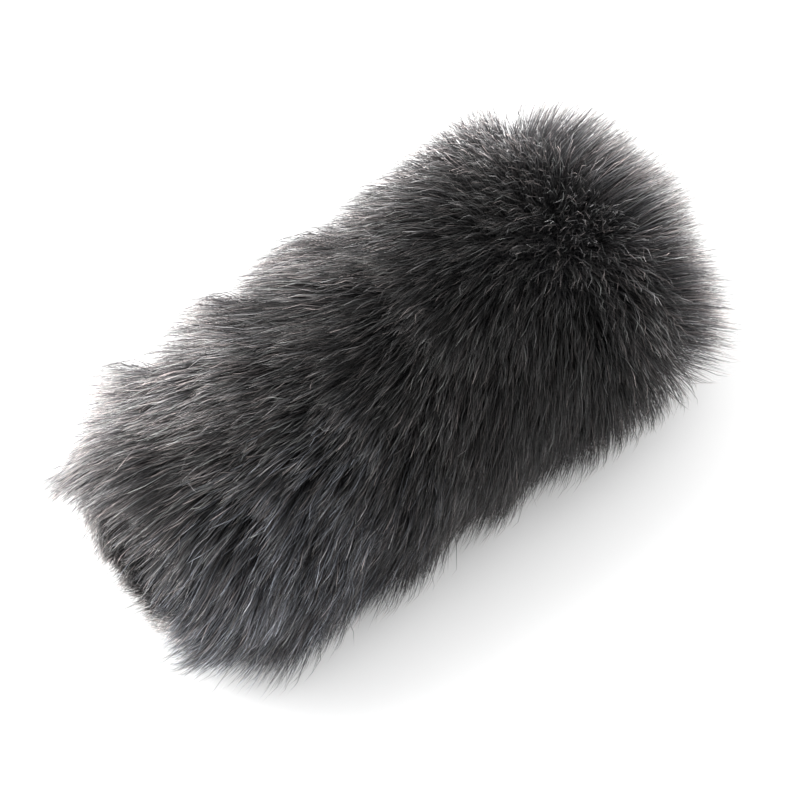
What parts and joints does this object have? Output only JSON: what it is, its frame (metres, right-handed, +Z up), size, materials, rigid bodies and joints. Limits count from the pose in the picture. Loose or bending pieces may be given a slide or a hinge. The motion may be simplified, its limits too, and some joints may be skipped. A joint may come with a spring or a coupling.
{
  "type": "furry windscreen",
  "caption": "Slip-on furry windscreen for a shotgun microphone: long-pile jacket with a closed nose over a basket with a rubber grip boot.",
  "frame": {"origin": "centre of the rear mouth of the boot's microphone bore", "axes": "+X along the microphone towards the closed nose, +Z up from the side it lies on, +Y to the left looking from the mouth to the nose"},
  "size_m": [0.204, 0.1018, 0.0919],
  "materials": {
    "pile": "matte",
    "backing_knit": "matte",
    "seam_tape": "matte",
    "hem_tape": "matte",
    "elastic": "matte",
    "thread": "satin",
    "label_cloth": "matte",
    "basket_plastic": "matte",
    "pin_metal": "satin",
    "foam": "matte",
    "spacer_mesh": "matte",
    "boot_rubber": "matte"
  },
  "bodies": {
    "core": {"rear_ring": "basket_plastic", "basket_half_left": "basket_plastic", "basket_half_right": "basket_plastic", "basket_pins": "pin_metal", "basket_nose": "basket_plastic", "foam_sleeve": "foam", "foam_nose": "foam", "mesh_cover": "spacer_mesh"},
    "boot": {"grip_boot": "boot_rubber"},
    "jacket": {"fur_sleeve": "pile", "fur_nose": "pile", "backing_sleeve": "backing_knit", "backing_nose": "backing_knit", "nose_seam_tape": "seam_tape", "nose_seam_stitches": "thread", "back_seam_tape": "seam_tape", "back_seam_stitches": "thread", "hem_casing": "hem_tape", "hem_elastic": "elastic", "hem_stitches": "thread", "woven_label": "label_cloth"}
  },
  "joints": [
    {"name": "jacket_slide", "type": "slide", "parent": "core", "child": "jacket", "axis": [1, 0, 0], "range_m": [0, 0.18]},
    {"name": "boot_slide", "type": "slide", "parent": "core", "child": "boot", "axis": [-1, 0, 0], "range_m": [0, 0.03]}
  ]
}
